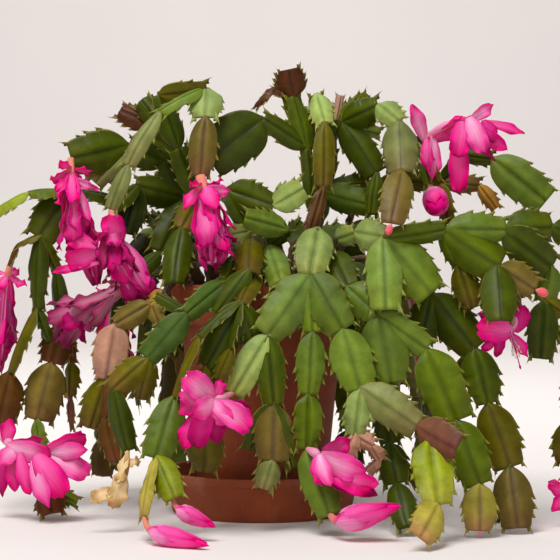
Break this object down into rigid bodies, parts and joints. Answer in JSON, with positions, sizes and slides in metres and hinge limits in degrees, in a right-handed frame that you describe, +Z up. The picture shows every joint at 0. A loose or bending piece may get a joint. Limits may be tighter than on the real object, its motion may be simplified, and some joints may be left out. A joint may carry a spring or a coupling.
{
  "type": "potted christmas cactus",
  "caption": "Christmas cactus in a terracotta pot on its saucer: arching, hanging stems of flat toothed segments with magenta blooms and buds at their tips.",
  "frame": {"origin": "the middle of the saucer's flat underside, on the pot's axis", "axes": "+Z up along the pot's axis, +X to the right as the picture sees the plant, +Y away from its eye"},
  "size_m": [0.4525, 0.3553, 0.3325],
  "materials": {
    "terracotta": "matte fired clay",
    "soil": "rough damp potting soil",
    "stem": "waxy, smooth stem skin",
    "petal": "thin silky petals",
    "dried_petal": "dry papery petals"
  },
  "bodies": {
    "root": {"saucer": "terracotta", "pot": "terracotta", "soil": "soil", "stem_left_arm": "stem", "stem_left_trunk": "stem", "stem_front_left": "stem", "stem_low_left": "stem", "stem_star": "stem", "stem_right_front": "stem", "stem_right_under": "stem", "stem_right": "stem", "stem_star_right": "stem", "stem_upper_right": "stem", "stem_right_top": "stem", "stem_top_left": "stem", "stem_upper_left": "stem", "stem_top_centre": "stem", "stem_top_pale": "stem", "stem_crown": "stem", "stem_back_1": "stem", "stem_back_2": "stem", "stem_back_3": "stem", "stem_back_4": "stem", "stem_back_5": "stem", "stem_back_6": "stem", "stem_back_7": "stem", "stem_back_8": "stem", "stem_back_9": "stem", "stem_back_10": "stem", "stem_back_11": "stem", "bloom_long_left": "petal", "bloom_drooping_left": "petal", "bloom_withered_left": "petal", "bloom_edge_left": "petal", "bloom_low_left": "petal", "bloom_hanging_top": "petal", "bloom_front_right": "petal", "bloom_front_left": "petal", "bloom_top_right": "petal", "bloom_right": "petal", "bloom_edge_right": "petal", "bloom_dried_left": "dried_petal", "bloom_back_2": "petal", "bloom_back_6": "petal", "bloom_back_10": "petal", "bud_low_left": "petal", "bud_low_left_back": "petal", "bud_low_right": "petal", "bud_upper_right": "petal", "bud_tiny_upper": "petal", "bud_tiny_right": "petal", "bud_tiny_low": "petal"}
  },
  "joints": []
}
